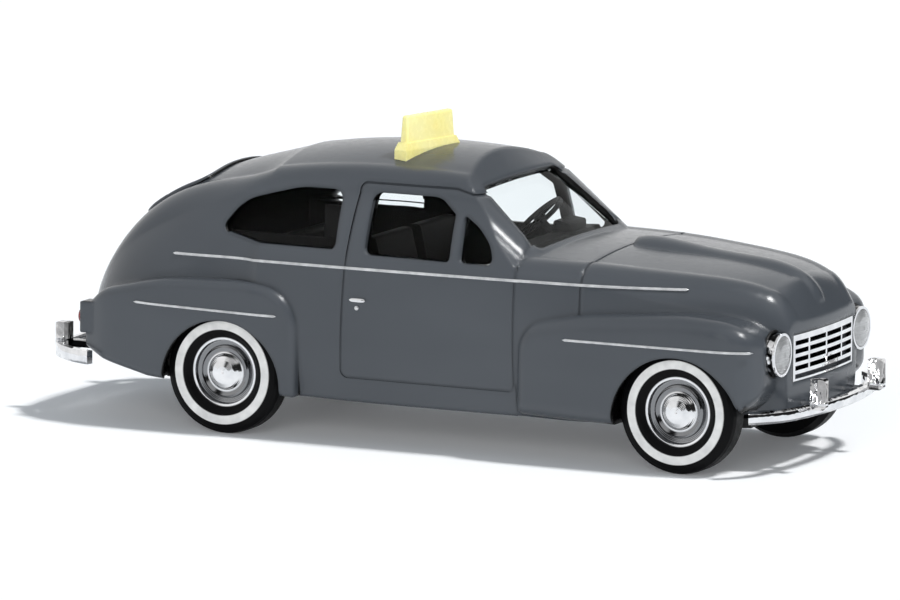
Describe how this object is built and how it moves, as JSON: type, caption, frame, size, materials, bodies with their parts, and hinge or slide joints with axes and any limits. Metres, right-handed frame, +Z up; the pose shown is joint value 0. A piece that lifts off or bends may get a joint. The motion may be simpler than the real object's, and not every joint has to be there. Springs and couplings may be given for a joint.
{
  "type": "scale model taxi cab",
  "caption": "Small scale model of a rounded two-door saloon taxi with a blank roof sign, clear windows, plated grille, lamps and bumpers, and free-rolling whitewall wheels on two axles.",
  "frame": {"origin": "on the ground under the middle of the car's length and width", "axes": "+X towards the front of the car, +Y to the car's left, +Z up"},
  "size_m": [0.0506, 0.0182, 0.0194],
  "materials": {
    "body_grey": "smooth self-coloured grey, semi-gloss",
    "clear_glazing": "clear moulded glazing",
    "chassis_black": "matt black moulding",
    "interior_black": "matt black moulding",
    "plated_trim": "bright plating on plastic",
    "plated_wheel": "bright plating on plastic",
    "clear_lens": "clear fluted lens",
    "red_lens": "gloss red",
    "sign_yellow": "gloss pale yellow, blank",
    "axle_steel": "plain drawn steel",
    "tyre_black": "smooth black with a white printed band"
  },
  "bodies": {
    "cab_body": {"body_shell": "body_grey", "window_insert": "clear_glazing", "chassis": "chassis_black", "interior": "interior_black", "steering_wheel": "interior_black", "grille": "plated_trim", "front_bumper": "plated_trim", "rear_bumper": "plated_trim", "roof_sign": "sign_yellow", "headlamp_bezel_left": "plated_trim", "headlamp_bezel_right": "plated_trim", "headlamp_lens_left": "clear_lens", "headlamp_lens_right": "clear_lens", "tail_lamp_left": "red_lens", "tail_lamp_right": "red_lens"},
    "front_wheelset": {"front_axle": "axle_steel", "tyre_front_left": "tyre_black", "tyre_front_right": "tyre_black", "wheel_front_left": "plated_wheel", "wheel_front_right": "plated_wheel"},
    "rear_wheelset": {"rear_axle": "axle_steel", "tyre_rear_left": "tyre_black", "tyre_rear_right": "tyre_black", "wheel_rear_left": "plated_wheel", "wheel_rear_right": "plated_wheel"}
  },
  "joints": [
    {"name": "front_axle_roll", "type": "hinge", "parent": "cab_body", "child": "front_wheelset", "pos_m": [0.0174, 0, 0.00374], "axis": [0, 1, 0], "continuous": true},
    {"name": "rear_axle_roll", "type": "hinge", "parent": "cab_body", "child": "rear_wheelset", "pos_m": [-0.0125, 0, 0.00374], "axis": [0, 1, 0], "continuous": true}
  ]
}
